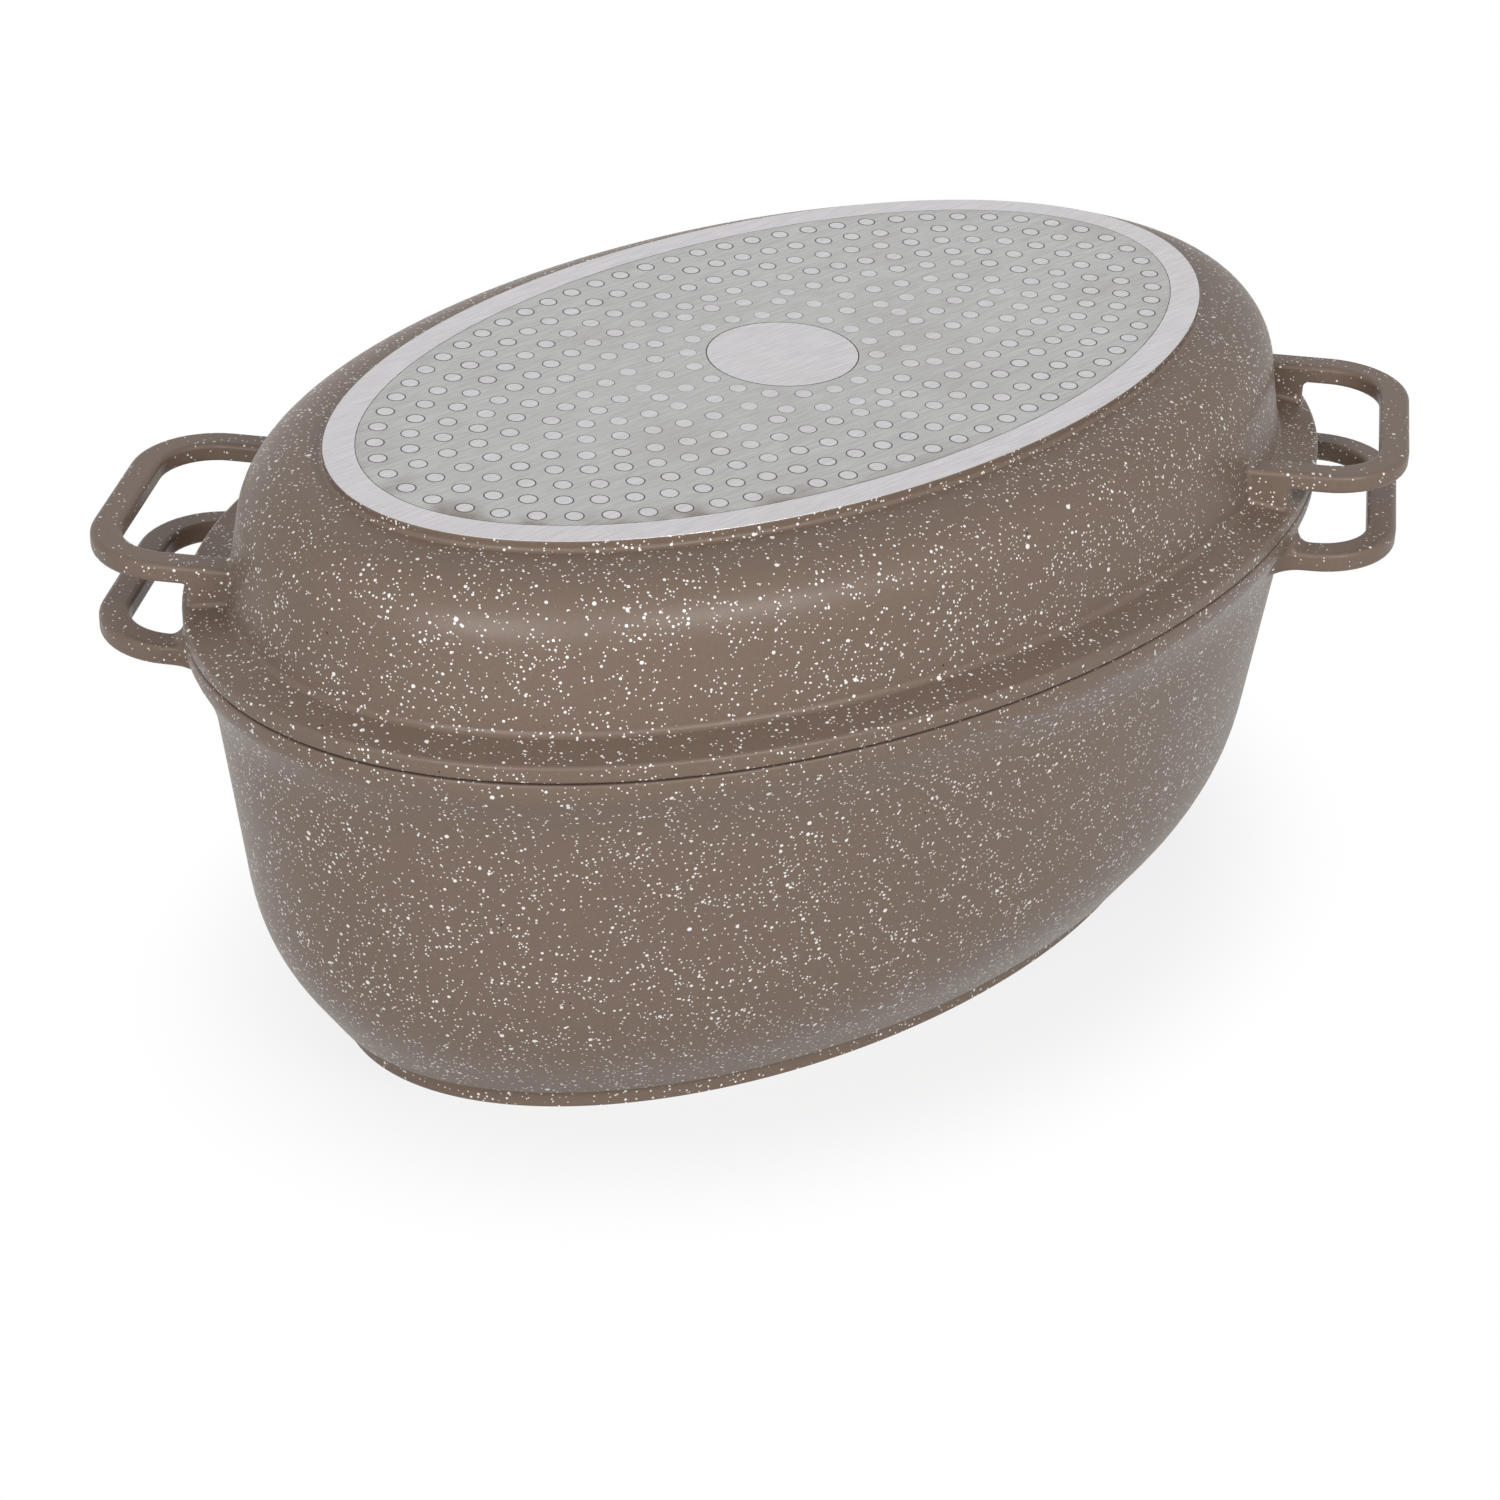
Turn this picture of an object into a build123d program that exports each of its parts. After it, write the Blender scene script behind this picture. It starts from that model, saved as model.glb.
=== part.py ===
"""Oval roasting pan: a deep cast pan under a lid that is itself a shallow pan turned upside down.

Both castings carry two strap handles cast in one with them and a perforated steel disc let into
the machined oval of the base. The pan stands on the origin, +Z up, +X along its length, and all
sizes are in millimetres.
"""

from build123d import *

import os
from math import atan2, cos, hypot, pi, radians, sin

# Base oval, shared by the pan's foot and the top face of the lid
BASE_LENGTH = 310.0
BASE_WIDTH = 178.0

# Pan body
PAN_HEIGHT = 135.0
FOOT_HEIGHT = 8.4
FOOT_STEP = 5.4
KNEE_OFFSET = 23.6
KNEE_HEIGHT = 36.4
KNEE_RADIUS = 73.0
WAIST_INSET = 7.0
WAIST_DEPTH = 18.5
WAIST_RADIUS = 55.0
RIM_OFFSET = 41.0
RIM_BAND = 5.5
RIM_BLEND = 9.0
WALL = 4.0
BASE_THICKNESS = 8.0
FLOOR_RADIUS = 28.0

# Lid body, depths measured down from its machined top face
LID_HEIGHT = 51.5
LID_FOOT_DEPTH = 3.2
LEDGE_WIDTH = 12.6
DOME_DRAFT = 6.2
SHOULDER_DEPTH = 6.3
SHOULDER_RADIUS = 20.0
FLANGE_THICKNESS = 5.2
FLANGE_SLOPE = 2.4
CREASE_RADIUS = 2.0
LIP_DEPTH = 2.5
LIP_WIDTH = 3.0
LIP_CLEARANCE = 0.8

# Edge rounding on the castings
EDGE_RADIUS = 1.2
FINE_RADIUS = 0.6

# Strap handles, on the diagonal of the rim
HANDLE_ANGLE = -50.7
HANDLE_SHIFT = -4.3
HANDLE_WIDTH = 87.0
HANDLE_CORNER = 25.0
STRAP_WIDTH = 9.0
STRAP_EDGE = 1.7
LID_HANDLE_REACH = 28.0
LID_ROOT_RADIUS = 1.5
LID_STRAP_THICKNESS = 6.0
LID_HANDLE_RISE = 13.3
PAN_HANDLE_REACH = 27.0
PAN_ROOT_RADIUS = 4.0
PAN_STRAP_THICKNESS = 6.5
PAN_HANDLE_DROP = 7.8
GUSSET_HEIGHT = 20.0
GUSSET_RADIUS = 17.0
GUSSET_SETBACK = 14.5
GUSSET_LEAN = 7.5
ROOT_DEPTH = 35.0

# Perforated disc and the studs of the casting that fill its holes
RING_WIDTH = 9.3
DISC_THICKNESS = 1.0
DISC_CLEARANCE = 0.2
STUD_RADIUS = 2.4
STUD_CLEARANCE = 0.2
MEDALLION_RADIUS = 22.4
MEDALLION_CLEARANCE = 0.3
STUD_PITCH = 10.0
STUD_MARGIN = 5.9
CIRCLE_STUDS = (18, 22)
CIRCLE_MARGIN = 5.6
FULL_OVALS = 5
END_OVALS = 2
END_OVAL_STEP = 12.0

BASE_A = BASE_LENGTH / 2
BASE_B = BASE_WIDTH / 2
CORE_REACH = 32.0
CORE_OVERLAP = 10.0
PLACE_DIGITS = 4
LID_TOP = PAN_HEIGHT + LID_HEIGHT
LEDGE = PAN_HEIGHT + FLANGE_THICKNESS
WAIST_OFFSET = RIM_OFFSET - WAIST_INSET
DOME_OFFSET = RIM_OFFSET - LEDGE_WIDTH
SHOULDER_OFFSET = DOME_OFFSET - DOME_DRAFT
OVERCUT = 5.0


def oval_solid(corners):
    """Solid oval block whose wall follows the base oval at a constant offset.

    `corners` are (offset, height, corner radius). The first and last lie inside the block, at
    its two flat faces, and the block is closed between them.
    """
    outline = FilletPolyline(
        *[(BASE_A + offset, 0, height) for offset, height, _ in corners],
        radius=[radius for _, _, radius in corners],
        close=True,
    )
    band = sweep(make_face(outline), path=Wire([Edge.make_ellipse(BASE_A, BASE_B)]))
    low, high = sorted((corners[0][1], corners[-1][1]))
    inset = CORE_REACH - CORE_OVERLAP
    core = Pos(0, 0, low) * extrude(Ellipse(BASE_A - inset, BASE_B - inset), high - low)
    return band + core


def inner_corner(before, corner, after):
    """Corner of a line that runs one wall thickness inside the line before-corner-after."""
    first = atan2(corner[1] - before[1], corner[0] - before[0])
    second = atan2(after[1] - corner[1], after[0] - corner[0])
    bisector = (first + second) / 2 + pi / 2
    step = WALL / cos((second - first) / 2)
    return corner[0] + step * cos(bisector), corner[1] + step * sin(bisector)


def pan_outer():
    """Outside of the pan as one solid block, from the machined foot up to the rim."""
    return oval_solid(
        [
            (-CORE_REACH, 0, 0),
            (0, 0, FINE_RADIUS),
            (0, FOOT_HEIGHT, EDGE_RADIUS),
            (FOOT_STEP, FOOT_HEIGHT + FINE_RADIUS, EDGE_RADIUS),
            (KNEE_OFFSET, KNEE_HEIGHT, KNEE_RADIUS),
            (WAIST_OFFSET, PAN_HEIGHT - WAIST_DEPTH, WAIST_RADIUS),
            (RIM_OFFSET, PAN_HEIGHT - RIM_BAND, RIM_BLEND),
            (RIM_OFFSET, PAN_HEIGHT, EDGE_RADIUS),
            (-CORE_REACH, PAN_HEIGHT, 0),
        ]
    )


def pan_cavity():
    """Inside of the pan, one wall thickness in from the outside and open at the rim."""
    foot = (FOOT_STEP, FOOT_HEIGHT + FINE_RADIUS)
    knee = (KNEE_OFFSET, KNEE_HEIGHT)
    waist = (WAIST_OFFSET, PAN_HEIGHT - WAIST_DEPTH)
    rim = (RIM_OFFSET, PAN_HEIGHT - RIM_BAND)
    top = (RIM_OFFSET, PAN_HEIGHT)
    low_slope = (knee[0] - foot[0]) / (knee[1] - foot[1])
    inner_knee = inner_corner(foot, knee, waist)
    inner_waist = inner_corner(knee, waist, rim)
    inner_rim = inner_corner(waist, rim, top)
    floor_offset = inner_knee[0] - low_slope * (inner_knee[1] - BASE_THICKNESS)
    return oval_solid(
        [
            (-CORE_REACH, BASE_THICKNESS, 0),
            (floor_offset, BASE_THICKNESS, FLOOR_RADIUS),
            (*inner_knee, KNEE_RADIUS - WALL),
            (*inner_waist, WAIST_RADIUS + WALL),
            (*inner_rim, RIM_BLEND - WALL),
            (inner_rim[0], PAN_HEIGHT + OVERCUT, 0),
            (-CORE_REACH, PAN_HEIGHT + OVERCUT, 0),
        ]
    )


def lid_outer():
    """Outside of the lid as one solid block, with the lip that drops inside the pan's rim."""
    lip_offset = RIM_OFFSET - WALL - LIP_CLEARANCE
    return oval_solid(
        [
            (-CORE_REACH, PAN_HEIGHT - LIP_DEPTH, 0),
            (lip_offset, PAN_HEIGHT - LIP_DEPTH, EDGE_RADIUS),
            (lip_offset, PAN_HEIGHT, 0),
            (RIM_OFFSET, PAN_HEIGHT, EDGE_RADIUS),
            (RIM_OFFSET, LEDGE, EDGE_RADIUS),
            (DOME_OFFSET, LEDGE + FLANGE_SLOPE, CREASE_RADIUS),
            (SHOULDER_OFFSET, LID_TOP - SHOULDER_DEPTH, SHOULDER_RADIUS),
            (0, LID_TOP - LID_FOOT_DEPTH, EDGE_RADIUS),
            (0, LID_TOP, FINE_RADIUS),
            (-CORE_REACH, LID_TOP, 0),
        ]
    )


def lid_cavity():
    """Inside of the lid, open at its underside, stepping out to the width of the lip."""
    foot = (0, LID_TOP - LID_FOOT_DEPTH)
    shoulder = (SHOULDER_OFFSET, LID_TOP - SHOULDER_DEPTH)
    dome = (DOME_OFFSET, LEDGE + FLANGE_SLOPE)
    ceiling = LID_TOP - BASE_THICKNESS
    inner_shoulder = inner_corner(dome, shoulder, foot)
    draft = (dome[0] - shoulder[0]) / (shoulder[1] - dome[1])
    mouth_offset = inner_shoulder[0] + draft * (inner_shoulder[1] - PAN_HEIGHT)
    lip_inside = RIM_OFFSET - WALL - LIP_CLEARANCE - LIP_WIDTH
    ceiling_offset = inner_shoulder[0] - draft * (ceiling - inner_shoulder[1])
    return oval_solid(
        [
            (-CORE_REACH, PAN_HEIGHT - OVERCUT, 0),
            (lip_inside, PAN_HEIGHT - OVERCUT, 0),
            (lip_inside, PAN_HEIGHT, FINE_RADIUS),
            (mouth_offset, PAN_HEIGHT, FINE_RADIUS),
            (ceiling_offset, ceiling, SHOULDER_RADIUS - WALL),
            (-CORE_REACH, ceiling, 0),
        ]
    )


def handle_frames():
    """Planes on the rim where the two handles stand, X outwards and Y along the rim."""
    half_length = BASE_A + RIM_OFFSET
    half_width = BASE_B + RIM_OFFSET
    frames = []
    for turn in (0, 180):
        out_x = cos(radians(HANDLE_ANGLE + turn))
        out_y = sin(radians(HANDLE_ANGLE + turn))
        scale = hypot(half_length * out_x, half_width * out_y)
        spot_x = half_length**2 * out_x / scale - HANDLE_SHIFT * out_y
        spot_y = half_width**2 * out_y / scale + HANDLE_SHIFT * out_x
        frames.append(Plane(origin=(spot_x, spot_y, 0), x_dir=(out_x, out_y, 0), z_dir=(0, 0, 1)))
    return frames


def u_plan(half_width, reach, corner_radius):
    """Tongue in the handle's plane, from inside the casting out to `reach`, with round corners."""
    outline = FilletPolyline(
        (-ROOT_DEPTH, -half_width),
        (reach, -half_width),
        (reach, half_width),
        (-ROOT_DEPTH, half_width),
        radius=[0, corner_radius, corner_radius, 0],
        close=True,
    )
    return make_face(outline)


def strap_plan(reach):
    """Plan of one strap: a bar of constant width bent round the finger hole."""
    outside = u_plan(HANDLE_WIDTH / 2, reach, HANDLE_CORNER)
    hole = u_plan(HANDLE_WIDTH / 2 - STRAP_WIDTH, reach - STRAP_WIDTH, HANDLE_CORNER - STRAP_WIDTH)
    return outside - hole


def lid_handle(frame):
    """Strap handle of the lid; each root stands on the flange as a solid lug."""
    top = LEDGE + LID_HANDLE_RISE
    plan = frame.location * strap_plan(LID_HANDLE_REACH)
    strap = Pos(0, 0, top - LID_STRAP_THICKNESS) * extrude(plan, LID_STRAP_THICKNESS)
    rim = Ellipse(BASE_A + RIM_OFFSET - EDGE_RADIUS, BASE_B + RIM_OFFSET - EDGE_RADIUS)
    lug_foot = PAN_HEIGHT + FLANGE_THICKNESS / 2
    lugs = Pos(0, 0, lug_foot) * extrude(plan & rim, top - lug_foot)
    sharp = strap + lugs
    return fillet(sharp.edges(), STRAP_EDGE)


def pan_handle(frame):
    """Strap handle of the pan; a curved gusset runs from each root down the wall."""
    top = PAN_HEIGHT - PAN_HANDLE_DROP
    bottom = top - PAN_STRAP_THICKNESS
    strap = Pos(0, 0, bottom) * extrude(strap_plan(PAN_HANDLE_REACH), PAN_STRAP_THICKNESS)
    foot = bottom - GUSSET_HEIGHT
    bar_end = PAN_HANDLE_REACH - HANDLE_CORNER
    gusset_top = bar_end - GUSSET_SETBACK
    profile = make_face(
        FilletPolyline(
            (-ROOT_DEPTH, 0, top),
            (bar_end, 0, top),
            (bar_end, 0, bottom),
            (gusset_top, 0, bottom),
            (gusset_top - GUSSET_LEAN, 0, foot),
            (-ROOT_DEPTH, 0, foot),
            radius=[0, 0, 0, GUSSET_RADIUS, 0, 0],
            close=True,
        )
    )
    side = HANDLE_WIDTH / 2 - STRAP_WIDTH
    gussets = [
        Pos(0, start, 0) * extrude(profile, STRAP_WIDTH, dir=(0, 1, 0))
        for start in (side, -side - STRAP_WIDTH)
    ]
    sharp = strap + gussets
    return frame.location * fillet(sharp.edges(), STRAP_EDGE)


def join_handle(body, handle, root_radius):
    """Fuse a handle to a casting and round the seam all round its roots."""
    joined = body + handle
    seam = new_edges(body, handle, combined=joined)
    return joined.fillet(root_radius, seam)


def quarter_studs(a, b, spacing):
    """Places a spacing apart along a quarter of an oval, from its tip on X to its side on Y."""
    quarter = Edge.make_ellipse(a, b, start_angle=0, end_angle=90)
    count = round(quarter.length / spacing)
    spots = []
    for stud in range(count + 1):
        reach = min(stud * spacing, quarter.length)
        spot = quarter.position_at(reach, position_mode=PositionMode.LENGTH)
        spots.append((round(spot.X, PLACE_DIGITS), round(spot.Y, PLACE_DIGITS)))
    return spots


def oval_studs(a, b, full):
    """Places round an oval, starting from both tips; a full oval is stretched to close evenly."""
    quarter_length = Edge.make_ellipse(a, b, start_angle=0, end_angle=90).length
    spacing = quarter_length / round(quarter_length / STUD_PITCH) if full else STUD_PITCH
    spots = {
        (side_x * x, side_y * y)
        for x, y in quarter_studs(a, b, spacing)
        for side_x in (1, -1)
        for side_y in (1, -1)
    }
    return sorted(spots)


def stud_places():
    """Stud places on a base: ovals inside the rim of the disc, two circles round the centre.

    Ovals that meet the circles stop short of them, one too narrow for a stud is left out, and
    one stud fills each end of the gap between.
    """
    insets = [STUD_PITCH * oval for oval in range(FULL_OVALS)]
    insets += [insets[-1] + END_OVAL_STEP * (oval + 1) for oval in range(END_OVALS)]
    inner_circle = MEDALLION_RADIUS + CIRCLE_MARGIN
    outer_circle = inner_circle + STUD_PITCH
    clear = outer_circle + STUD_PITCH / 2
    spots = []
    for inset in insets:
        a = BASE_A - RING_WIDTH - STUD_MARGIN - inset
        b = BASE_B - RING_WIDTH - STUD_MARGIN - inset
        if b > STUD_RADIUS:
            spots += [(x, y) for x, y in oval_studs(a, b, b > clear) if hypot(x, y) > clear]
    for ring, count in enumerate(CIRCLE_STUDS):
        radius = inner_circle + ring * STUD_PITCH
        for stud in range(count):
            angle = 2 * pi * stud / count
            spots.append((radius * cos(angle), radius * sin(angle)))
    spots += [(side * (outer_circle + STUD_PITCH), 0) for side in (1, -1)]
    return spots


def disc_sheet(edge_gap, stud_radius, medallion_radius):
    """Flat oval plate of the disc's thickness, pierced round every stud and the medallion."""
    a = BASE_A - RING_WIDTH + edge_gap
    b = BASE_B - RING_WIDTH + edge_gap
    holes = [Wire.make_circle(stud_radius, Plane((x, y, 0))) for x, y in stud_places()]
    holes.append(Wire.make_circle(medallion_radius))
    return extrude(Face(Wire([Edge.make_ellipse(a, b)]), holes), DISC_THICKNESS)


def disc_seat():
    """What the disc's pocket takes out of a casting, leaving studs and medallion standing."""
    return disc_sheet(0, STUD_RADIUS, MEDALLION_RADIUS)


def induction_disc():
    """Perforated steel disc, a small clearance inside its pocket and round every stud."""
    return disc_sheet(
        -DISC_CLEARANCE,
        STUD_RADIUS + STUD_CLEARANCE,
        MEDALLION_RADIUS + MEDALLION_CLEARANCE,
    )


def pan_body():
    """Deep casting: wall, foot, two strap handles and the studded seat of the disc."""
    body = pan_outer()
    for frame in handle_frames():
        body = join_handle(body, pan_handle(frame), PAN_ROOT_RADIUS)
    return body - pan_cavity() - disc_seat()


def lid_body():
    """Shallow casting, open side down: dome, flange, lip, two strap handles and disc seat."""
    body = lid_outer()
    for frame in handle_frames():
        body = join_handle(body, lid_handle(frame), LID_ROOT_RADIUS)
    return body - lid_cavity() - Pos(0, 0, LID_TOP - DISC_THICKNESS) * disc_seat()


def main():
    """Build every piece and write one STEP file for each."""
    pieces = {
        "pan_body": pan_body(),
        "pan_induction_disc": induction_disc(),
        "lid_body": lid_body(),
        "lid_induction_disc": Pos(0, 0, LID_TOP - DISC_THICKNESS) * induction_disc(),
    }
    os.makedirs("parts", exist_ok=True)
    for name, piece in pieces.items():
        export_step(piece, f"parts/{name}.step")


if __name__ == "__main__":
    main()
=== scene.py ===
"""Looks of the oval roasting pan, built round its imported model.

The pan and its lid are aluminium castings under a sprayed, speckled non-stick coating. Both have a
base that is ground bright, with a perforated steel disc let into it, because the lid is a pan too.
"""

import logging
from dataclasses import dataclass
from enum import Enum
from math import cos, hypot, pi, radians, sin
from random import Random

import bpy
from mathutils import Matrix, Vector


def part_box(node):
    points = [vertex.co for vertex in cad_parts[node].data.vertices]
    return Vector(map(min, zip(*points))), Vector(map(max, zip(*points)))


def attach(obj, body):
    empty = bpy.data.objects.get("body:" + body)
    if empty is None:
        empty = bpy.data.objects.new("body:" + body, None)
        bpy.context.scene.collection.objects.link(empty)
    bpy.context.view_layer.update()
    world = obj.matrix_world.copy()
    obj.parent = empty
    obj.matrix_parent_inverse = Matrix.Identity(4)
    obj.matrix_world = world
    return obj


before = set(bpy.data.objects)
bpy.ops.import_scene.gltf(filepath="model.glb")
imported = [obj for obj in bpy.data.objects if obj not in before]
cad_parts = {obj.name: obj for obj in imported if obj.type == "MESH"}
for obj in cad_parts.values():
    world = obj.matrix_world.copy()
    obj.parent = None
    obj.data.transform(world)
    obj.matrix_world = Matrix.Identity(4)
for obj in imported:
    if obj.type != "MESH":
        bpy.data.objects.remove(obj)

LOG = logging.getLogger("roasting_pan")
MM = 0.001
IMAGE_SIDE = 1500


def linear(hex_colour: str) -> tuple[float, float, float, float]:
    """Turn an sRGB colour into the linear one that the shaders take.

    Args:
        hex_colour: six hex digits, red first.

    Returns:
        Red, green, blue and an alpha of 1.
    """
    parts = [int(hex_colour[start : start + 2], 16) / 255 for start in (0, 2, 4)]
    light = [c / 12.92 if c <= 0.04045 else ((c + 0.055) / 1.055) ** 2.4 for c in parts]
    return (light[0], light[1], light[2], 1.0)


def add(tree: bpy.types.NodeTree, kind: str, inputs: dict[int | str, object] | None = None,
        **settings: object) -> bpy.types.Node:
    """Add a node with its settings, and set or link its inputs.

    Args:
        tree: the node tree that gets the node.
        kind: the node's class name.
        inputs: input name or number, to a value or to the socket that feeds it.
        **settings: properties of the node.

    Returns:
        The new node.
    """
    node = tree.nodes.new(kind)
    for name, value in settings.items():
        setattr(node, name, value)
    for key, value in (inputs or {}).items():
        if isinstance(value, bpy.types.NodeSocket):
            tree.links.new(value, node.inputs[key])
        else:
            node.inputs[key].default_value = value
    return node


def oval_reach(tree: bpy.types.NodeTree, place: bpy.types.NodeSocket,
               half: tuple[float, float]) -> tuple[bpy.types.NodeSocket, bpy.types.NodeSocket]:
    """Measure how far out a point lies on an oval round the pan's middle.

    Args:
        tree: the material's tree.
        place: position in millimetres.
        half: half length and half width of the oval, in millimetres.

    Returns:
        The position in shares of the oval, and its length, which is 1 on the oval.
    """
    scale = (1 / half[0], 1 / half[1], 0.0)
    share = add(tree, "ShaderNodeVectorMath", {0: place, 1: scale}, operation="MULTIPLY").outputs[0]
    reach = add(tree, "ShaderNodeVectorMath", {0: share}, operation="LENGTH").outputs["Value"]
    return share, reach


class Facing(Enum):
    """Which way a machined base looks."""

    UP = 1
    DOWN = -1


@dataclass(frozen=True)
class Surface:
    """Sockets that describe one finish: colour, roughness and height in millimetres."""

    colour: bpy.types.NodeSocket
    roughness: bpy.types.NodeSocket
    height: bpy.types.NodeSocket


@dataclass(frozen=True)
class Flecks:
    """One size of paint droplet in a splattered coat, in millimetres.

    Each cell of the pattern may hold one droplet, and share says how many do. A higher lean makes
    more of them small.
    """

    spacing: float
    smallest: float
    largest: float
    share: float
    shift: float
    edge: float = 0.05
    lean: float = 2.0

    def mask(self, tree: bpy.types.NodeTree, place: bpy.types.NodeSocket,
             crowd: bpy.types.NodeSocket) -> bpy.types.NodeSocket:
        """Build the droplets' mask.

        Args:
            tree: the material's tree.
            place: position in millimetres.
            crowd: how thick the splatter lies here, about 1 on average.

        Returns:
            A socket that is 1 on a droplet and 0 beside it.
        """
        moved = add(tree, "ShaderNodeVectorMath", {0: place, 1: (self.shift,) * 3},
                    operation="ADD").outputs[0]
        cells = add(tree, "ShaderNodeTexVoronoi", {"Vector": moved, "Scale": 1 / self.spacing})
        chance = add(tree, "ShaderNodeSeparateColor", {0: cells.outputs["Color"]})
        size = add(tree, "ShaderNodeMath", {0: chance.outputs[0], 1: self.lean},
                   operation="POWER").outputs[0]
        radius = add(tree, "ShaderNodeMapRange", {0: size, 3: self.smallest, 4: self.largest}).outputs[0]
        limit = add(tree, "ShaderNodeMath", {0: crowd, 1: self.share}, operation="MULTIPLY").outputs[0]
        shown = add(tree, "ShaderNodeMath", {0: chance.outputs[1], 1: limit},
                    operation="LESS_THAN").outputs[0]
        away = add(tree, "ShaderNodeMath", {0: cells.outputs["Distance"], 1: self.spacing},
                   operation="MULTIPLY").outputs[0]
        inside = add(tree, "ShaderNodeMath", {0: radius, 1: away}, operation="SUBTRACT").outputs[0]
        soft = add(tree, "ShaderNodeMath", {0: inside, 1: 1 / self.edge, 2: 0.5},
                   operation="MULTIPLY_ADD", use_clamp=True).outputs[0]
        return add(tree, "ShaderNodeMath", {0: soft, 1: shown}, operation="MULTIPLY").outputs[0]


@dataclass(frozen=True)
class SpeckledCoating:
    """Non-stick coating: a satin taupe coat, sprayed on and splattered with off-white and black flecks.

    It gives the eye a broad soft highlight and a warm stony grain, because its flecks are paler than
    the coat, a little duller, and stand slightly proud of it. Sizes are in millimetres.
    """

    colour: str = "7D6B5E"
    shade: str = "705F53"
    pale_fleck: str = "F8F5F2"
    dark_fleck: str = "231D1A"
    roughness: float = 0.4
    specular: float = 0.35
    fleck_roughness: float = 0.5
    # The splatter lies in loose clouds, with half to one and a half times the usual droplets.
    crowd_size: float = 14.0
    crowd_noise: tuple[float, float] = (0.3, 0.7)
    crowd_span: tuple[float, float] = (0.5, 1.5)
    # Past the rim, on the handles, fewer droplets land.
    rim: tuple[float, float] = (196.0, 130.0)
    rim_fade: tuple[float, float] = (0.99, 1.06)
    handle_share: float = 0.4
    # The droplets' outlines wander a little, because they spread as they land.
    wobble_size: float = 0.55
    wobble: float = 0.14
    # The spray leaves a fine grain in the coat, a few thousandths of a millimetre deep.
    grain_size: float = 0.9
    grain_height: float = 0.006
    fleck_height: float = 0.03
    # The smallest droplets are about as small as a picture of the whole pan can show.
    pale: tuple[Flecks, ...] = (
        Flecks(spacing=3.2, smallest=0.3, largest=0.74, share=0.26, shift=0.0),
        Flecks(spacing=1.8, smallest=0.24, largest=0.5, share=0.46, shift=31.7),
        Flecks(spacing=1.25, smallest=0.2, largest=0.36, share=0.6, shift=67.1),
    )
    dark: Flecks = Flecks(spacing=3.4, smallest=0.14, largest=0.36, share=0.12, shift=140.9)

    def surface(self, tree: bpy.types.NodeTree, place: bpy.types.NodeSocket) -> Surface:
        """Build the coating.

        Args:
            tree: the material's tree.
            place: position in millimetres.

        Returns:
            The coating's sockets.
        """
        swirl = add(tree, "ShaderNodeTexNoise", {
            "Vector": place, "Scale": 1 / self.wobble_size, "Detail": 1.0,
        })
        bent = add(tree, "ShaderNodeVectorMath", {
            0: swirl.outputs["Color"], 1: (self.wobble,) * 3, 2: place,
        }, operation="MULTIPLY_ADD").outputs[0]
        cloud = add(tree, "ShaderNodeTexNoise", {
            "Vector": place, "Scale": 1 / self.crowd_size, "Detail": 2.0,
        })
        crowd = add(tree, "ShaderNodeMapRange", {
            0: cloud.outputs[0], 1: self.crowd_noise[0], 2: self.crowd_noise[1],
            3: self.crowd_span[0], 4: self.crowd_span[1],
        }).outputs[0]
        _, reach = oval_reach(tree, place, self.rim)
        thin = add(tree, "ShaderNodeMapRange", {
            0: reach, 1: self.rim_fade[0], 2: self.rim_fade[1], 3: 1.0, 4: self.handle_share,
        }).outputs[0]
        crowd = add(tree, "ShaderNodeMath", {0: crowd, 1: thin}, operation="MULTIPLY").outputs[0]
        masks = [flecks.mask(tree, bent, crowd) for flecks in self.pale]
        pale = masks[0]
        for mask in masks[1:]:
            pale = add(tree, "ShaderNodeMath", {0: pale, 1: mask}, operation="MAXIMUM").outputs[0]
        dark = self.dark.mask(tree, bent, crowd)
        grain = add(tree, "ShaderNodeTexNoise", {
            "Vector": place, "Scale": 1 / self.grain_size, "Detail": 3.0,
        })
        coat = add(tree, "ShaderNodeMix", {
            0: grain.outputs[0], 6: linear(self.shade), 7: linear(self.colour),
        }, data_type="RGBA").outputs[2]
        coat = add(tree, "ShaderNodeMix", {0: dark, 6: coat, 7: linear(self.dark_fleck)},
                   data_type="RGBA").outputs[2]
        coat = add(tree, "ShaderNodeMix", {0: pale, 6: coat, 7: linear(self.pale_fleck)},
                   data_type="RGBA").outputs[2]
        rough = add(tree, "ShaderNodeMapRange", {
            0: pale, 3: self.roughness, 4: self.fleck_roughness,
        }).outputs[0]
        bumps = add(tree, "ShaderNodeMath", {0: grain.outputs[0], 1: self.grain_height},
                    operation="MULTIPLY")
        height = add(tree, "ShaderNodeMath", {0: pale, 1: self.fleck_height, 2: bumps.outputs[0]},
                     operation="MULTIPLY_ADD").outputs[0]
        return Surface(coat, rough, height)


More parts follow.
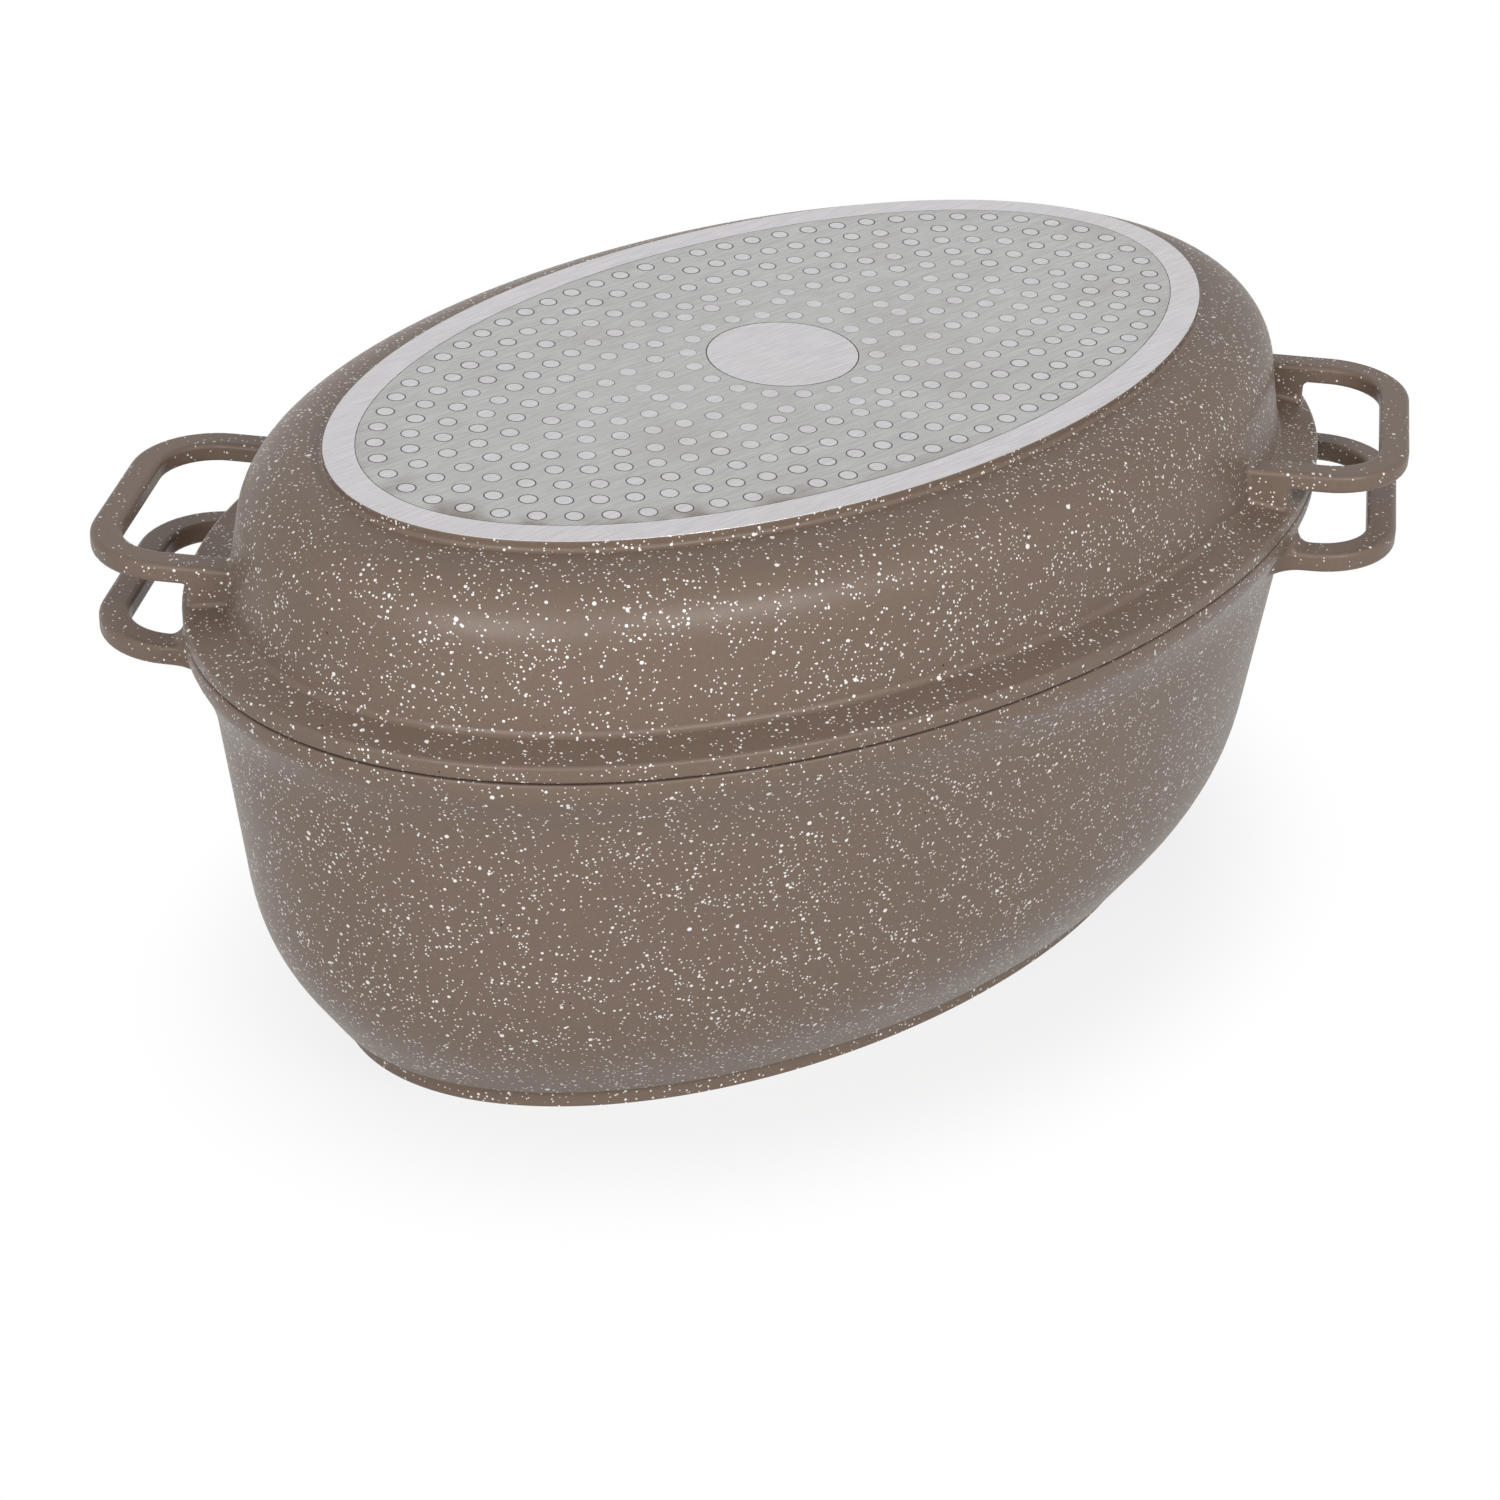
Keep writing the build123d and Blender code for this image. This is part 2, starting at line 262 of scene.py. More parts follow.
@dataclass(frozen=True)
class Smudge:
    """Heat and grinding marks that gather along the rim of a disc, mostly on one side of it.

    They give the eye a few soft brown patches in the grey steel. Sizes are in millimetres.
    """

    colour: str = "7E7268"
    half: tuple[float, float] = (145.4, 79.4)
    # The marks fade in over this share of the way out to the rim.
    width: float = 0.1
    toward: tuple[float, float, float] = (-0.85, -0.53, 0.0)
    toward_fade: tuple[float, float] = (0.45, 0.9)
    elsewhere: float = 0.15
    patch: float = 16.0
    patch_noise: tuple[float, float] = (0.42, 0.62)
    strength: float = 0.85

    def mask(self, tree: bpy.types.NodeTree, place: bpy.types.NodeSocket) -> bpy.types.NodeSocket:
        """Build the marks' mask.

        Args:
            tree: the material's tree.
            place: position in millimetres.

        Returns:
            A socket that is 1 in the middle of a mark and 0 away from it.
        """
        share, reach = oval_reach(tree, place, self.half)
        rim = add(tree, "ShaderNodeMapRange", {0: reach, 1: 1.0 - self.width, 2: 1.0}).outputs[0]
        side = add(tree, "ShaderNodeVectorMath", {0: share, 1: self.toward},
                   operation="DOT_PRODUCT").outputs["Value"]
        near = add(tree, "ShaderNodeMapRange", {
            0: side, 1: self.toward_fade[0], 2: self.toward_fade[1], 3: self.elsewhere,
        }).outputs[0]
        cloud = add(tree, "ShaderNodeTexNoise", {"Vector": place, "Scale": 1 / self.patch, "Detail": 3.0})
        spots = add(tree, "ShaderNodeMapRange", {
            0: cloud.outputs[0], 1: self.patch_noise[0], 2: self.patch_noise[1],
        }).outputs[0]
        marks = add(tree, "ShaderNodeMath", {0: rim, 1: near}, operation="MULTIPLY").outputs[0]
        marks = add(tree, "ShaderNodeMath", {0: marks, 1: spots}, operation="MULTIPLY").outputs[0]
        return add(tree, "ShaderNodeMath", {0: marks, 1: self.strength}, operation="MULTIPLY").outputs[0]


@dataclass(frozen=True)
class BrushedMetal:
    """Metal dressed with an abrasive belt along the pan's length, which leaves fine straight scratches.

    They give the eye a soft sheen instead of a clear mirror, with darker lines where the belt bit
    deeper and duller areas where the metal has stained. Sizes are in millimetres.
    """

    colour: str
    scratch_colour: str
    stain_colour: str
    stain: float
    roughness: tuple[float, float]
    # A real belt leaves scratches a few hundredths of a millimetre wide. They are drawn several
    # times wider here, because they would not show in a picture of the whole pan.
    scratch_width: float = 0.4
    scratch_length: float = 10.0
    scratch_height: float = 0.004
    scratch_noise: tuple[float, float] = (0.35, 0.65)
    stain_size: float = 34.0
    stain_noise: tuple[float, float] = (0.5, 0.75)
    smudge: Smudge | None = None

    def surface(self, tree: bpy.types.NodeTree, place: bpy.types.NodeSocket) -> Surface:
        """Build the brushed metal.

        Args:
            tree: the material's tree.
            place: position in millimetres.

        Returns:
            The metal's sockets.
        """
        stretch = (1 / self.scratch_length, 1 / self.scratch_width, 1 / self.scratch_width)
        along = add(tree, "ShaderNodeVectorMath", {0: place, 1: stretch}, operation="MULTIPLY").outputs[0]
        lines = add(tree, "ShaderNodeTexNoise", {
            "Vector": along, "Scale": 1.0, "Detail": 3.0, "Roughness": 0.6,
        })
        cloud = add(tree, "ShaderNodeTexNoise", {
            "Vector": place, "Scale": 1 / self.stain_size, "Detail": 3.0,
        })
        depth = add(tree, "ShaderNodeMapRange", {
            0: lines.outputs[0], 1: self.scratch_noise[0], 2: self.scratch_noise[1],
        }).outputs[0]
        metal = add(tree, "ShaderNodeMix", {
            0: depth, 6: linear(self.scratch_colour), 7: linear(self.colour),
        }, data_type="RGBA").outputs[2]
        stain = add(tree, "ShaderNodeMapRange", {
            0: cloud.outputs[0], 1: self.stain_noise[0], 2: self.stain_noise[1], 4: self.stain,
        }).outputs[0]
        metal = add(tree, "ShaderNodeMix", {0: stain, 6: metal, 7: linear(self.stain_colour)},
                    data_type="RGBA").outputs[2]
        if self.smudge:
            marks = self.smudge.mask(tree, place)
            metal = add(tree, "ShaderNodeMix", {0: marks, 6: metal, 7: linear(self.smudge.colour)},
                        data_type="RGBA").outputs[2]
        low, high = self.roughness
        rough = add(tree, "ShaderNodeMapRange", {0: depth, 3: high, 4: low}).outputs[0]
        height = add(tree, "ShaderNodeMath", {0: depth, 1: self.scratch_height},
                     operation="MULTIPLY").outputs[0]
        return Surface(metal, rough, height)


@dataclass(frozen=True)
class PanFinish:
    """Makes the materials of the pan from its finishes. Sizes are in millimetres."""

    coating: SpeckledCoating
    aluminium: BrushedMetal
    steel: BrushedMetal
    # Painted shade darkens the coat along the joint between lid and pan, for the shadow in the gap there,
    # and fades out within this height.
    painted_joint_shade: str = "3A2A23"
    joint_shade_half: float = 0.75
    joint_shade_share: float = 0.85
    # The base is ground bright down to plane_depth. Between there and seat_depth lies the seat of
    # the disc, inside the middle line of the ground ring.
    plane_depth: float = 0.25
    seat_depth: float = 1.4
    # Painted shade of the gaps round the disc and its studs: the sunk seat and the seams are coloured
    # nearly black, a little lighter at random.
    gap_shade_dark: str = "2C2927"
    gap_shade_pale: str = "6E6B69"
    gap_shade_size: float = 9.0
    gap_shade_roughness: float = 0.7

    def start(self, name: str) -> tuple[bpy.types.Material, bpy.types.NodeTree, bpy.types.NodeSocket]:
        """Make an empty material.

        Args:
            name: the material's name.

        Returns:
            The material, its tree, and the position in millimetres that its patterns read.
        """
        material = bpy.data.materials.new(name)
        material.use_nodes = True
        tree = material.node_tree
        tree.nodes.clear()
        where = add(tree, "ShaderNodeTexCoord").outputs["Object"]
        place = add(tree, "ShaderNodeVectorMath", {0: where, "Scale": 1 / MM},
                    operation="SCALE").outputs[0]
        return material, tree, place

    def close(self, tree: bpy.types.NodeTree, surface: Surface, metallic: float | bpy.types.NodeSocket,
              specular: float = 0.5) -> None:
        """Feed a surface's sockets to the shader and the material's output.

        Args:
            tree: the material's tree.
            surface: the finish.
            metallic: 1 where the surface is bare metal and 0 where it isn't, or a socket for that.
            specular: strength of the gloss where the surface isn't bare metal.
        """
        normal = add(tree, "ShaderNodeBump", {"Height": surface.height, "Distance": MM, "Strength": 1.0})
        shader = add(tree, "ShaderNodeBsdfPrincipled", {
            "Base Color": surface.colour,
            "Roughness": surface.roughness,
            "Metallic": metallic,
            "Specular IOR Level": specular,
            "Normal": normal.outputs[0],
        })
        add(tree, "ShaderNodeOutputMaterial", {"Surface": shader.outputs[0]})

    def casting(self, name: str, plane: float, joint: float, facing: Facing,
                ring: tuple[float, float]) -> bpy.types.Material:
        """Coated casting, ground bright on its base plane and inside the seat of the disc, with painted
        shade along the joint and in the seat.

        Args:
            name: the material's name.
            plane: height of the ground base, in millimetres.
            joint: height of the joint between pan and lid, in millimetres.
            facing: which way that base looks.
            ring: half length and half width of the middle of the ground ring, in millimetres.

        Returns:
            The material.
        """
        material, tree, place = self.start(name)
        coat = self.coating.surface(tree, place)
        bare = self.aluminium.surface(tree, place)
        spot = add(tree, "ShaderNodeSeparateXYZ", {0: place}).outputs
        # Painted shade: near the joint between lid and pan the coat turns dark brown, for the shadow in
        # the gap.
        gap = add(tree, "ShaderNodeMath", {0: spot[2], 1: joint}, operation="SUBTRACT").outputs[0]
        gap = add(tree, "ShaderNodeMath", {0: gap}, operation="ABSOLUTE").outputs[0]
        painted_joint_shade = add(tree, "ShaderNodeMapRange", {
            0: gap, 1: self.joint_shade_half, 2: 0.0, 3: 0.0, 4: self.joint_shade_share,
        }, interpolation_type="SMOOTHSTEP").outputs[0]
        coated = add(tree, "ShaderNodeMix", {0: painted_joint_shade, 6: coat.colour, 7: linear(self.painted_joint_shade)},
                     data_type="RGBA").outputs[2]
        depth = add(tree, "ShaderNodeMath", {0: spot[2], 1: -facing.value, 2: plane * facing.value},
                    operation="MULTIPLY_ADD").outputs[0]
        on_plane = add(tree, "ShaderNodeMath", {0: depth, 1: self.plane_depth},
                       operation="LESS_THAN").outputs[0]
        in_seat = add(tree, "ShaderNodeMath", {0: depth, 1: self.seat_depth},
                      operation="LESS_THAN").outputs[0]
        _, reach = oval_reach(tree, place, ring)
        inside = add(tree, "ShaderNodeMath", {0: reach, 1: 1.0}, operation="LESS_THAN").outputs[0]
        seat = add(tree, "ShaderNodeMath", {0: inside, 1: in_seat}, operation="MULTIPLY").outputs[0]
        ground = add(tree, "ShaderNodeMath", {0: on_plane, 1: seat}, operation="MAXIMUM").outputs[0]
        colour = add(tree, "ShaderNodeMix", {0: ground, 6: coated, 7: bare.colour},
                     data_type="RGBA").outputs[2]
        # Painted shade: below the ground plane the seat turns nearly black, so that the gaps round the
        # disc and its studs show dark.
        level = add(tree, "ShaderNodeMath", {0: 1.0, 1: on_plane}, operation="SUBTRACT").outputs[0]
        shaded_seat = add(tree, "ShaderNodeMath", {0: seat, 1: level}, operation="MULTIPLY").outputs[0]
        colour = add(tree, "ShaderNodeMix", {0: shaded_seat, 6: colour, 7: linear(self.gap_shade_dark)},
                     data_type="RGBA").outputs[2]
        rough = add(tree, "ShaderNodeMix", {0: ground, 2: coat.roughness, 3: bare.roughness}).outputs[0]
        height = add(tree, "ShaderNodeMix", {0: ground, 2: coat.height, 3: bare.height}).outputs[0]
        self.close(tree, Surface(colour, rough, height), ground, self.coating.specular)
        return material

    def seam(self, name: str) -> bpy.types.Material:
        """Painted shade of the seams round the studs: matt and nearly black, a little lighter at random.

        Args:
            name: the material's name.

        Returns:
            The material.
        """
        material, tree, place = self.start(name)
        cloud = add(tree, "ShaderNodeTexNoise", {
            "Vector": place, "Scale": 1 / self.gap_shade_size, "Detail": 2.0,
        })
        colour = add(tree, "ShaderNodeMix", {
            0: cloud.outputs[0], 6: linear(self.gap_shade_dark), 7: linear(self.gap_shade_pale),
        }, data_type="RGBA").outputs[2]
        shader = add(tree, "ShaderNodeBsdfPrincipled", {
            "Base Color": colour, "Roughness": self.gap_shade_roughness,
        })
        add(tree, "ShaderNodeOutputMaterial", {"Surface": shader.outputs[0]})
        return material

    def metal(self, name: str, finish: BrushedMetal) -> bpy.types.Material:
        """Material of one bare metal all over.

        Args:
            name: the material's name.
            finish: the metal's finish.

        Returns:
            The material.
        """
        material, tree, place = self.start(name)
        self.close(tree, finish.surface(tree, place), 1.0)
        return material


@dataclass(frozen=True)
class StudPattern:
    """Places of the studs that fill the disc's holes, in millimetres, as the castings have them."""

    half_length: float = 139.8
    half_width: float = 73.8
    pitch: float = 10.0
    full_ovals: int = 5
    end_ovals: int = 2
    end_step: float = 12.0
    circle_radius: float = 28.0
    circle_studs: tuple[int, ...] = (18, 22)

    def quarter(self, a: float, b: float, full: bool) -> list[tuple[float, float]]:
        """Stud places along a quarter of an oval, from its tip on X.

        Args:
            a: half length of the oval.
            b: half width of the oval.
            full: stretch the spacing so that the oval closes evenly.

        Returns:
            The places, as (x, y).
        """
        steps = 2000
        arc = [0.0]
        for step in range(steps):
            angle = pi / 2 * (step + 0.5) / steps
            arc.append(arc[-1] + hypot(a * sin(angle), b * cos(angle)) * pi / 2 / steps)
        count = round(arc[-1] / self.pitch)
        spacing = arc[-1] / count if full else self.pitch
        places = []
        step = 0
        for stud in range(count + 1):
            reach = min(stud * spacing, arc[-1])
            while step < steps - 1 and arc[step + 1] < reach:
                step += 1
            part = (reach - arc[step]) / (arc[step + 1] - arc[step])
            angle = pi / 2 * (step + part) / steps
            places.append((a * cos(angle), b * sin(angle)))
        return places

    def places(self) -> list[tuple[float, float]]:
        """Work out all stud places of one base.

        Returns:
            The places, as (x, y).
        """
        outer_circle = self.circle_radius + self.pitch
        clear = outer_circle + self.pitch / 2
        insets = [self.pitch * oval for oval in range(self.full_ovals)]
        insets += [insets[-1] + self.end_step * (oval + 1) for oval in range(self.end_ovals)]
        found = set()
        for inset in insets:
            a, b = self.half_length - inset, self.half_width - inset
            for x, y in self.quarter(a, b, b > clear):
                if hypot(x, y) > clear:
                    for u, v in ((x, y), (x, -y), (-x, y), (-x, -y)):
                        found.add((round(u, 3) + 0.0, round(v, 3) + 0.0))
        for ring, count in enumerate(self.circle_studs):
            radius = self.circle_radius + ring * self.pitch
            turns = [2 * pi * stud / count for stud in range(count)]
            found |= {(radius * cos(turn), radius * sin(turn)) for turn in turns}
        found |= {(side * (outer_circle + self.pitch), 0.0) for side in (1, -1)}
        return sorted(found)


@dataclass(frozen=True)
class StudCrowns:
    """Ground heads of the studs, laid by Geometry Nodes, each over the dark seam that its hole leaves.

    The press squashed the studs near the middle until they fill their holes. Towards the edge a stud has
    some play, and a nearly black disc under its crown paints the shade in that seam. Sizes are in
    millimetres.
    """

    pattern: StudPattern
    radius: float = 2.5
    bevel: float = 0.1
    depth: float = 0.12
    rise: float = 0.03
    seam: float = 0.36
    seam_bevel: float = 0.04
    seam_rise: float = 0.01
    # The tightest stud is wider by this factor, and its seam loses this share of its width.
    fill: float = 1.04
    squeeze: float = 0.5
    # Studs sit tighter in the middle of the disc than at its rim, and play lets them differ.
    tight_middle: float = 1.25
    tight_loss: float = 1.35
    play: float = 0.45
    half_disc: tuple[float, float] = (145.0, 79.0)
    sides: int = 24
    seed: int = 11

    def tightness(self, x: float, y: float, chance: Random) -> float:
        """How well a stud fills its hole: 0 with play all round, 1 with none.

        Args:
            x: place of the stud along the pan.
            y: place of the stud across the pan.
            chance: the base's own random numbers.

        Returns:
            The share.
        """
        reach = hypot(x / self.half_disc[0], y / self.half_disc[1])
        share = self.tight_middle - self.tight_loss * reach + chance.uniform(-self.play, self.play) / 2
        return min(max(share, 0.0), 1.0)

    def head(self, tree: bpy.types.NodeTree, given: bpy.types.NodeOutputs, radius: str, bevel: str,
             top: str, metal: str) -> bpy.types.NodeSocket:
        """Lay one closed bevelled disc on each point, scaled by the point's own share.

        Args:
            tree: the crowns' tree.
            given: its named inputs.
            radius: name of the input for the disc's radius.
            bevel: name of the input for its bevel.
            top: name of the input for the height of its top.
            metal: name of the input for its material.

        Returns:
            The laid discs.
        """
        inner = add(tree, "ShaderNodeMath", {0: given[radius], 1: given[bevel]},
                    operation="SUBTRACT").outputs[0]
        drop = add(tree, "ShaderNodeMath", {0: given[top], 1: given["Depth"]},
                   operation="SUBTRACT").outputs[0]
        cone = add(tree, "GeometryNodeMeshCone", {
            "Vertices": given["Sides"], "Radius Top": inner, "Radius Bottom": given[radius],
            "Depth": given["Depth"],
        }, fill_type="NGON").outputs[0]
        shift = add(tree, "ShaderNodeCombineXYZ", {2: drop}).outputs[0]
        raised = add(tree, "GeometryNodeTransform", {"Geometry": cone, "Translation": shift}).outputs[0]
        turn = add(tree, "ShaderNodeCombineXYZ", {0: given["Tilt"]}).outputs[0]
        share = add(tree, "GeometryNodeInputNamedAttribute", {"Name": radius.lower()},
                    data_type="FLOAT").outputs[0]
        size = add(tree, "ShaderNodeCombineXYZ", {0: share, 1: share, 2: 1.0}).outputs[0]
        laid = add(tree, "GeometryNodeInstanceOnPoints", {
            "Points": given["Places"], "Instance": raised, "Rotation": turn, "Scale": size,
        }).outputs[0]
        real = add(tree, "GeometryNodeRealizeInstances", {0: laid}).outputs[0]
        return add(tree, "GeometryNodeSetMaterial", {
            "Geometry": real, "Material": given[metal],
        }).outputs[0]

    def tree(self) -> bpy.types.NodeTree:
        """Build the tree that lays a crown and its seam on each point it is given.

        Returns:
            The tree.
        """
        tree = bpy.data.node_groups.new("stud_crowns", "GeometryNodeTree")
        face = tree.interface
        face.new_socket("Places", in_out="INPUT", socket_type="NodeSocketGeometry")
        for name in ("Crown", "Bevel", "Rise", "Seam", "Seam Bevel", "Seam Rise", "Depth", "Tilt"):
            face.new_socket(name, in_out="INPUT", socket_type="NodeSocketFloat")
        face.new_socket("Sides", in_out="INPUT", socket_type="NodeSocketInt")
        face.new_socket("Metal", in_out="INPUT", socket_type="NodeSocketMaterial")
        face.new_socket("Gap Shade", in_out="INPUT", socket_type="NodeSocketMaterial")
        face.new_socket("Crowns", in_out="OUTPUT", socket_type="NodeSocketGeometry")
        given = add(tree, "NodeGroupInput").outputs
        both = add(tree, "GeometryNodeJoinGeometry", {
            0: self.head(tree, given, "Crown", "Bevel", "Rise", "Metal"),
        })
        tree.links.new(self.head(tree, given, "Seam", "Seam Bevel", "Seam Rise", "Gap Shade"), both.inputs[0])
        add(tree, "NodeGroupOutput", {0: both.outputs[0]})
        return tree

    def build(self, name: str, body: str, plane: float, facing: Facing, metal: bpy.types.Material,
              gap_shade: bpy.types.Material) -> bpy.types.Object:
        """Lay the crowns of one base and make them a plain mesh.

        Args:
            name: the piece's name.
            body: the body that the piece rides on.
            plane: height of the ground base, in metres.
            facing: which way the base looks.
            metal: the crowns' material.
            gap_shade: the seams' material.

        Returns:
            The finished piece.
        """
        chance = Random(self.seed)
        spots = self.pattern.places()
        tight = [self.tightness(x, y, chance) for x, y in spots]
        places = bpy.data.meshes.new(name)
        places.from_pydata([(x * MM, y * MM, plane) for x, y in spots], [], [])
        crown = places.attributes.new("crown", "FLOAT", "POINT")
        crown.data.foreach_set("value", [1 + (self.fill - 1) * share for share in tight])
        seam = places.attributes.new("seam", "FLOAT", "POINT")
        closing = self.squeeze * self.seam / self.radius
        seam.data.foreach_set("value", [1 - closing * share for share in tight])
        piece = bpy.data.objects.new(name, places)
        bpy.context.scene.collection.objects.link(piece)
        modifier = piece.modifiers.new("Crowns", "NODES")
        tree = self.tree()
        modifier.node_group = tree
        values = {
            "Crown": self.radius * MM, "Bevel": self.bevel * MM, "Rise": self.rise * MM,
            "Seam": (self.radius + self.seam) * MM, "Seam Bevel": self.seam_bevel * MM,
            "Seam Rise": self.seam_rise * MM, "Depth": self.depth * MM,
            "Tilt": 0.0 if facing is Facing.UP else pi, "Sides": self.sides, "Metal": metal, "Gap Shade": gap_shade,
        }
        for item in tree.interface.items_tree:
            if item.in_out == "INPUT" and item.name in values:
                modifier[item.identifier] = values[item.name]
        return bake(piece, body)


def bake(piece: bpy.types.Object, body: str) -> bpy.types.Object:
    """Turn a piece's modifiers into a plain mesh and set it on its body.

    Args:
        piece: an object at the origin with live modifiers.
        body: the body that the piece rides on.

    Returns:
        The same object.
    """
    bpy.context.view_layer.update()
    graph = bpy.context.evaluated_depsgraph_get()
    solid = bpy.data.meshes.new_from_object(piece.evaluated_get(graph), depsgraph=graph)
    piece.modifiers.clear()
    piece.data = solid
    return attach(piece, body)


@dataclass
class RoastingPan:
    """The pan and its lid: the castings, their discs and the crowns of their studs."""

    finish: PanFinish
    crowns: StudCrowns
    ring: tuple[float, float] = (150.35, 84.35)

    def dress(self, node: str, material: bpy.types.Material) -> None:
        """Give a carried-over node its material.

        Args:
            node: the node's name.
            material: the material for all of it.
        """
        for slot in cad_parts[node].material_slots:
            slot.material = material
        LOG.info("%s: %s", node, material.name)

    def build(self) -> None:
        """Dress both castings and discs, and lay the crowns."""
        # Ground cast aluminium: pale and bright, with fine straight scratches that soften its mirror.
        aluminium = self.finish.metal("ground_cast_aluminium", self.finish.aluminium)
        # Brushed stainless steel: greyer and more even than the studs in it, browned along one side.
        steel = self.finish.metal("brushed_stainless_steel", self.finish.steel)
        # Painted shade of the seams: matt and nearly black, so that the studs have thin dark outlines.
        gap_shade = self.finish.seam("painted_gap_shade")
        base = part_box("pan_body")[0].z
        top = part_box("lid_body")[1].z
        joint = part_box("pan_body")[1].z
        for body, plane, facing in (("pan", base, Facing.DOWN), ("lid", top, Facing.UP)):
            # Speckled non-stick, sprayed on cast aluminium: satin taupe with a broad soft highlight
            # and off-white flecks, ending in a sharp line at the ground base.
            casting = self.finish.casting(f"{body}_speckled_non_stick", plane / MM, joint / MM, facing,
                                          self.ring)
            self.dress(f"{body}_body", casting)
            self.dress(f"{body}_induction_disc", steel)
            piece = self.crowns.build(f"{body}_stud_crowns", body, plane, facing, aluminium, gap_shade)
            LOG.info("%s: %d faces", piece.name, len(piece.data.polygons))


@dataclass(frozen=True)
class SoftBox:
    """A studio lamp behind a diffuser, or a plain fill that no gloss mirrors, in metres and watts."""

    name: str
    place: tuple[float, float, float]
    aim: tuple[float, float, float]
    size: tuple[float, float]
    power: float
    mirrored: bool = True

    def build(self) -> None:
        """Hang the lamp and aim it."""
        light = bpy.data.lights.new(self.name, "AREA")
        light.shape = "RECTANGLE"
        light.size, light.size_y = self.size
        light.energy = self.power
        lamp = bpy.data.objects.new(self.name, light)
        lamp.location = self.place
        lamp.visible_glossy = self.mirrored
        lamp.rotation_euler = (Vector(self.aim) - Vector(self.place)).to_track_quat("-Z", "Y").to_euler()
        bpy.context.scene.collection.objects.link(lamp)


@dataclass(frozen=True)
class Studio:
    """White sweep, soft lamps and the room's own light. Sizes are in metres."""

    lamps: tuple[SoftBox, ...]
    floor_colour: str = "C4C4C2"
    floor_half: float = 4.0
    floor_drop: float = 0.0002
    # The floor turns plain white between these distances, and nearer in this share of it is white.
    # They hold along the pan. Across it they are shorter by the factor narrow.
    fade_start: float = 0.145
    fade_end: float = 0.225
    fade_least: float = 0.82
    narrow: float = 1.35
    # The room's light, level with the pan and overhead, and how it leans to the side of the window.
    horizon: float = 0.46
    zenith: float = 0.1
    window: tuple[float, float, float] = (-0.5, 0.3, 0.0)

    def seen(self, tree: bpy.types.NodeTree) -> bpy.types.NodeSocket:
        """Tell rays that look at the background from those that only light the pan.

        Args:
            tree: the tree of the world or of the floor.

        Returns:
            A socket that is 1 where the eye, a mirror or glass sees the background.
        """
        rays = add(tree, "ShaderNodeLightPath").outputs
        both = add(tree, "ShaderNodeMath", {0: rays["Is Camera Ray"], 1: rays["Is Glossy Ray"]},
                   operation="MAXIMUM")
        return add(tree, "ShaderNodeMath", {0: both.outputs[0], 1: rays["Is Transmission Ray"]},
                   operation="MAXIMUM").outputs[0]

    def world(self) -> None:
        """Light the room: bright at the horizon and dimmer overhead, plain white where it is seen."""
        world = bpy.data.worlds.new("studio")
        bpy.context.scene.world = world
        world.use_nodes = True
        tree = world.node_tree
        tree.nodes.clear()
        way = add(tree, "ShaderNodeTexCoord").outputs["Generated"]
        parts = add(tree, "ShaderNodeSeparateXYZ", {0: way}).outputs
        level = add(tree, "ShaderNodeMapRange", {
            0: parts[2], 1: 0.0, 2: 1.0, 3: self.horizon, 4: self.zenith,
        }).outputs[0]
        side = add(tree, "ShaderNodeVectorMath", {0: way, 1: self.window},
                   operation="DOT_PRODUCT").outputs["Value"]
        light = add(tree, "ShaderNodeMath", {0: level, 1: side, 2: level},
                    operation="MULTIPLY_ADD").outputs[0]
        room = add(tree, "ShaderNodeBackground", {"Color": (1, 1, 1, 1), "Strength": light}).outputs[0]
        white = add(tree, "ShaderNodeBackground", {"Color": (1, 1, 1, 1), "Strength": 1.0}).outputs[0]
        both = add(tree, "ShaderNodeMixShader", {0: self.seen(tree), 1: room, 2: white}).outputs[0]
        add(tree, "ShaderNodeOutputWorld", {"Surface": both})

    def floor(self) -> None:
        """Lay a pale floor that takes the pan's shadow and fades to white away from it."""
        half = self.floor_half
        mesh = bpy.data.meshes.new("studio_floor")
        corners = [(-half, -half), (half, -half), (half, half), (-half, half)]
        mesh.from_pydata([(x, y, -self.floor_drop) for x, y in corners], [], [(0, 1, 2, 3)])
        floor = bpy.data.objects.new("studio_floor", mesh)
        bpy.context.scene.collection.objects.link(floor)
        # Matt white sweep of painted card: flat and pale, it takes a soft shadow and mirrors nothing.
        material = bpy.data.materials.new("matt_white_sweep")
        material.use_nodes = True
        tree = material.node_tree
        tree.nodes.clear()
        where = add(tree, "ShaderNodeTexCoord").outputs["Object"]
        oval = add(tree, "ShaderNodeVectorMath", {0: where, 1: (1.0, self.narrow, 1.0)},
                   operation="MULTIPLY").outputs[0]
        away = add(tree, "ShaderNodeVectorMath", {0: oval}, operation="LENGTH").outputs["Value"]
        fade = add(tree, "ShaderNodeMapRange", {
            0: away, 1: self.fade_start, 2: self.fade_end, 3: self.fade_least,
        }, interpolation_type="SMOOTHSTEP").outputs[0]
        share = add(tree, "ShaderNodeMath", {0: fade, 1: self.seen(tree)},
                    operation="MULTIPLY").outputs[0]
        matt = add(tree, "ShaderNodeBsdfDiffuse", {"Color": linear(self.floor_colour)}).outputs[0]
        white = add(tree, "ShaderNodeEmission", {"Color": (1, 1, 1, 1), "Strength": 1.0}).outputs[0]
        both = add(tree, "ShaderNodeMixShader", {0: share, 1: matt, 2: white}).outputs[0]
        add(tree, "ShaderNodeOutputMaterial", {"Surface": both})
        mesh.materials.append(material)

    def build(self) -> None:
        """Set up the room, the floor and the lamps."""
        self.world()
        self.floor()
        for lamp in self.lamps:
            lamp.build()
        LOG.info("studio: %d lamps", len(self.lamps))


